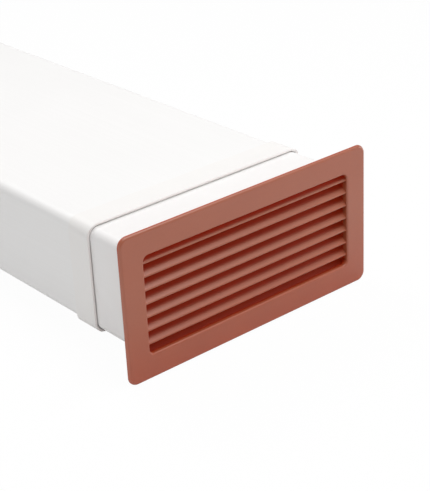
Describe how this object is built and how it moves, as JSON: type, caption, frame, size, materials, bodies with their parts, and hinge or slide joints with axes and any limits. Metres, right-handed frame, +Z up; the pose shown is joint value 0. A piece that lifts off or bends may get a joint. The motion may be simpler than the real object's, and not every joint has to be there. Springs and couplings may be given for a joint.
{
  "type": "flat duct wall terminal",
  "caption": "Louvred terracotta wall grille on a white rectangular spigot with a gravity damper, joined by a sleeve to a straight flat duct.",
  "frame": {"origin": "on the duct's axis, in the plane of the wall that the back of the grille's face plate sits on", "axes": "+X along the grille's width, +Y into the wall along the duct, +Z up"},
  "size_m": [0.256, 0.5777, 0.1254],
  "materials": {
    "terracotta_plastic": "satin injection-moulded terracotta plastic",
    "white_plastic": "smooth moulded white plastic",
    "sleeve_plastic": "smooth moulded white plastic",
    "duct_plastic": "extruded white plastic",
    "damper_plastic": "thin moulded plastic"
  },
  "bodies": {
    "terminal": {"terminal_spigot": "white_plastic", "damper_frame": "damper_plastic"},
    "grille": {"louvre_grille": "terracotta_plastic"},
    "connector": {"connector_sleeve": "sleeve_plastic"},
    "duct": {"duct_length": "duct_plastic"},
    "blade_upper": {"damper_blade_upper": "damper_plastic"},
    "blade_middle": {"damper_blade_middle": "damper_plastic"},
    "blade_lower": {"damper_blade_lower": "damper_plastic"}
  },
  "joints": [
    {"name": "grille_pull", "type": "slide", "parent": "terminal", "child": "grille", "axis": [0, -1, 0], "range_m": [0, 0.03]},
    {"name": "connector_pull", "type": "slide", "parent": "terminal", "child": "connector", "axis": [0, 1, 0], "range_m": [0, 0.02]},
    {"name": "duct_pull", "type": "slide", "parent": "connector", "child": "duct", "axis": [0, 1, 0], "range_m": [0, 0.02]},
    {"name": "blade_upper_swing", "type": "hinge", "parent": "terminal", "child": "blade_upper", "pos_m": [0, 0.0557, 0.0388], "axis": [-1, 0, 0], "range_deg": [0, 80]},
    {"name": "blade_middle_swing", "type": "hinge", "parent": "terminal", "child": "blade_middle", "pos_m": [0, 0.0557, 0.01173], "axis": [-1, 0, 0], "range_deg": [0, 80]},
    {"name": "blade_lower_swing", "type": "hinge", "parent": "terminal", "child": "blade_lower", "pos_m": [0, 0.0557, -0.01533], "axis": [-1, 0, 0], "range_deg": [0, 80]}
  ]
}
